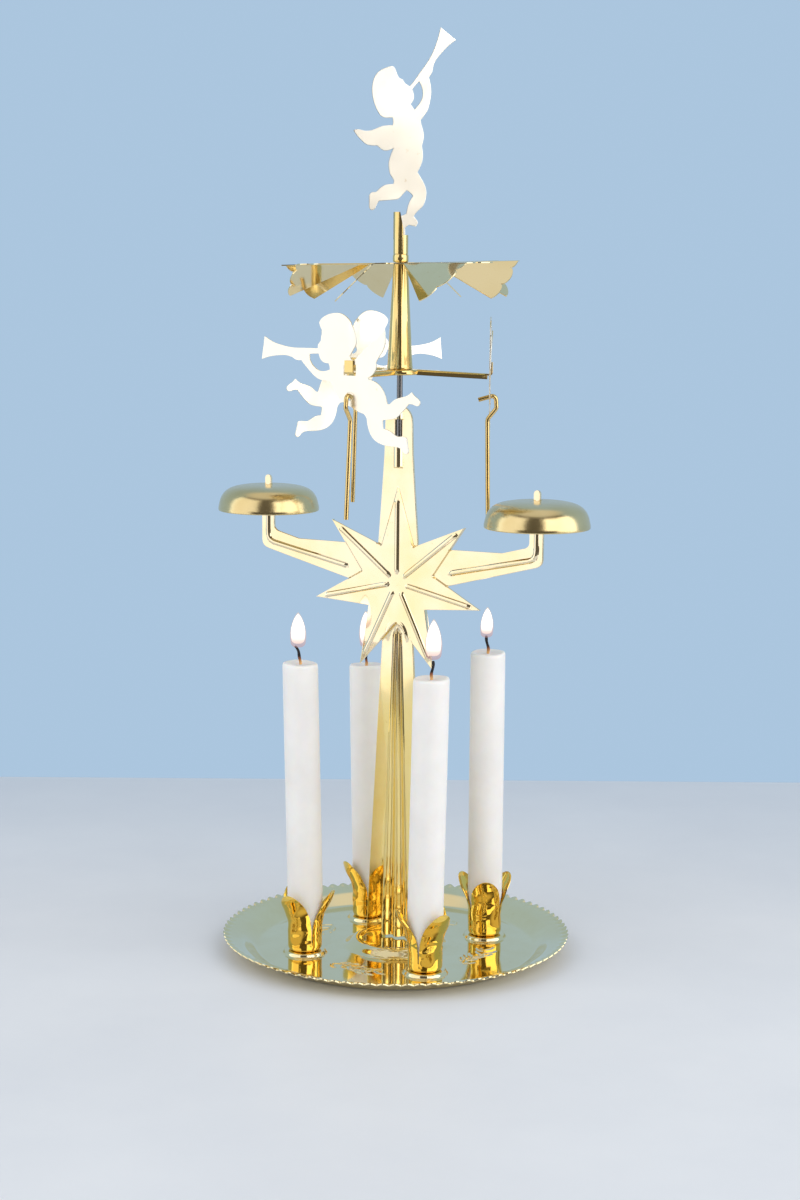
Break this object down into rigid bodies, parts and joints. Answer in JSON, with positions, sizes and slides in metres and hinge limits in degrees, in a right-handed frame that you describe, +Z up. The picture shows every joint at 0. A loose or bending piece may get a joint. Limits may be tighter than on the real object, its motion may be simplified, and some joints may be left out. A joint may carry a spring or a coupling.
{
  "type": "angel chime carousel",
  "caption": "Brass candle carousel: a fan wheel with flying figures turns on a needle above candles, and hanging wire strikers tap the bells on the star-shaped mast's arms.",
  "frame": {"origin": "centre of the base plate on the table surface", "axes": "+Z up along the mast, +X along the right bell arm, -Y towards the front face of the star"},
  "size_m": [0.1385, 0.1206, 0.3143],
  "materials": {
    "brass": "polished",
    "brass_gold": "polished",
    "brass_plate": "polished",
    "brass_bell": "satin",
    "brass_wire": "polished",
    "steel": "satin",
    "wax": "satin",
    "wick": "matte"
  },
  "bodies": {
    "stand": {"base_plate": "brass_plate", "candle_holder_1": "brass_gold", "candle_holder_2": "brass_gold", "candle_holder_3": "brass_gold", "candle_holder_4": "brass_gold", "holder_rivets": "brass_gold", "mast": "brass", "needle": "steel"},
    "bell_left": {"bell_left": "brass_bell"},
    "bell_right": {"bell_right": "brass_bell"},
    "rotor": {"hub_cone": "brass", "pivot_cup": "brass", "impeller": "brass", "hub_collar": "brass", "top_sleeve": "brass", "top_angel": "brass", "angel_carrier": "brass", "angel_1": "brass", "angel_2": "brass", "angel_3": "brass"},
    "striker_1": {"striker_1": "brass_wire"},
    "striker_2": {"striker_2": "brass_wire"},
    "striker_3": {"striker_3": "brass_wire"},
    "candle_1": {"candle_1": "wax", "wick_1": "wick"},
    "candle_2": {"candle_2": "wax", "wick_2": "wick"},
    "candle_3": {"candle_3": "wax", "wick_3": "wick"},
    "candle_4": {"candle_4": "wax", "wick_4": "wick"}
  },
  "joints": [
    {"name": "rotor_spin", "type": "hinge", "parent": "stand", "child": "rotor", "pos_m": [0, 0, 0.2307], "axis": [0, 0, 1], "continuous": true},
    {"name": "bell_left_spin", "type": "hinge", "parent": "stand", "child": "bell_left", "pos_m": [-0.05155, 0, 0.1597], "axis": [0, 0, 1], "continuous": true},
    {"name": "bell_right_spin", "type": "hinge", "parent": "stand", "child": "bell_right", "pos_m": [0.05155, 0, 0.1597], "axis": [0, 0, 1], "continuous": true},
    {"name": "striker_1_swing", "type": "hinge", "parent": "rotor", "child": "striker_1", "pos_m": [0.02755, 0.01297, 0.1926], "axis": [0.4258, -0.9048, 0], "range_deg": [-13, 19]},
    {"name": "striker_2_swing", "type": "hinge", "parent": "rotor", "child": "striker_2", "pos_m": [-0.02596, 0.01591, 0.1939], "axis": [0.5225, 0.8526, 0], "range_deg": [-15, 17]},
    {"name": "striker_3_swing", "type": "hinge", "parent": "rotor", "child": "striker_3", "pos_m": [-0.00255, -0.03034, 0.1939], "axis": [-0.9965, 0.0837, 0], "range_deg": [-16, 16]},
    {"name": "candle_1_lift", "type": "slide", "parent": "stand", "child": "candle_1", "axis": [0, 0, 1], "range_m": [0, 0.025]},
    {"name": "candle_2_lift", "type": "slide", "parent": "stand", "child": "candle_2", "axis": [0, 0, 1], "range_m": [0, 0.025]},
    {"name": "candle_3_lift", "type": "slide", "parent": "stand", "child": "candle_3", "axis": [0, 0, 1], "range_m": [0, 0.025]},
    {"name": "candle_4_lift", "type": "slide", "parent": "stand", "child": "candle_4", "axis": [0, 0, 1], "range_m": [0, 0.025]}
  ]
}
